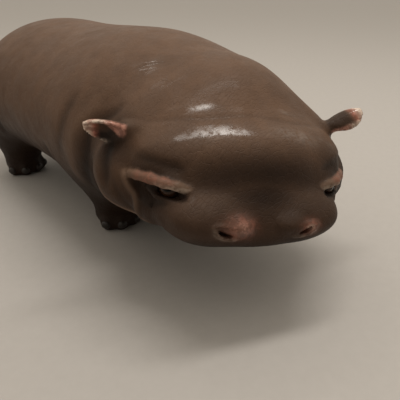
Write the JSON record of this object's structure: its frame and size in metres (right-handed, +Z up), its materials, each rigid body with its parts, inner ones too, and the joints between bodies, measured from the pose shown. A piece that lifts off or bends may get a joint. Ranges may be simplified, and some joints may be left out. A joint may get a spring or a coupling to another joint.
{
  "type": "hippopotamus calf model",
  "caption": "Life-size still model of a young hippopotamus standing on four feet, its head lowered and turned to its right.",
  "frame": {"origin": "under the middle of the calf, level with its soles", "axes": "+Z up, the calf faces -Y, its right side is -X"},
  "size_m": [0.3848, 0.8968, 0.3457],
  "materials": {
    "skin": "wet, glossy, dark brown-grey",
    "eye": "glossy",
    "nail": "satin"
  },
  "bodies": {
    "root": {"head": "skin", "neck": "skin", "trunk": "skin", "tail": "skin", "foreleg_right": "skin", "foreleg_left": "skin", "hindleg_right": "skin", "hindleg_left": "skin", "ear_right": "skin", "ear_left": "skin", "eye_right": "eye", "eye_left": "eye", "nail_foreleg_right_1": "nail", "nail_foreleg_right_2": "nail", "nail_foreleg_right_3": "nail", "nail_foreleg_right_4": "nail", "nail_foreleg_left_1": "nail", "nail_foreleg_left_2": "nail", "nail_foreleg_left_3": "nail", "nail_foreleg_left_4": "nail", "nail_hindleg_right_1": "nail", "nail_hindleg_right_2": "nail", "nail_hindleg_right_3": "nail", "nail_hindleg_right_4": "nail", "nail_hindleg_left_1": "nail", "nail_hindleg_left_2": "nail", "nail_hindleg_left_3": "nail", "nail_hindleg_left_4": "nail"}
  },
  "joints": []
}
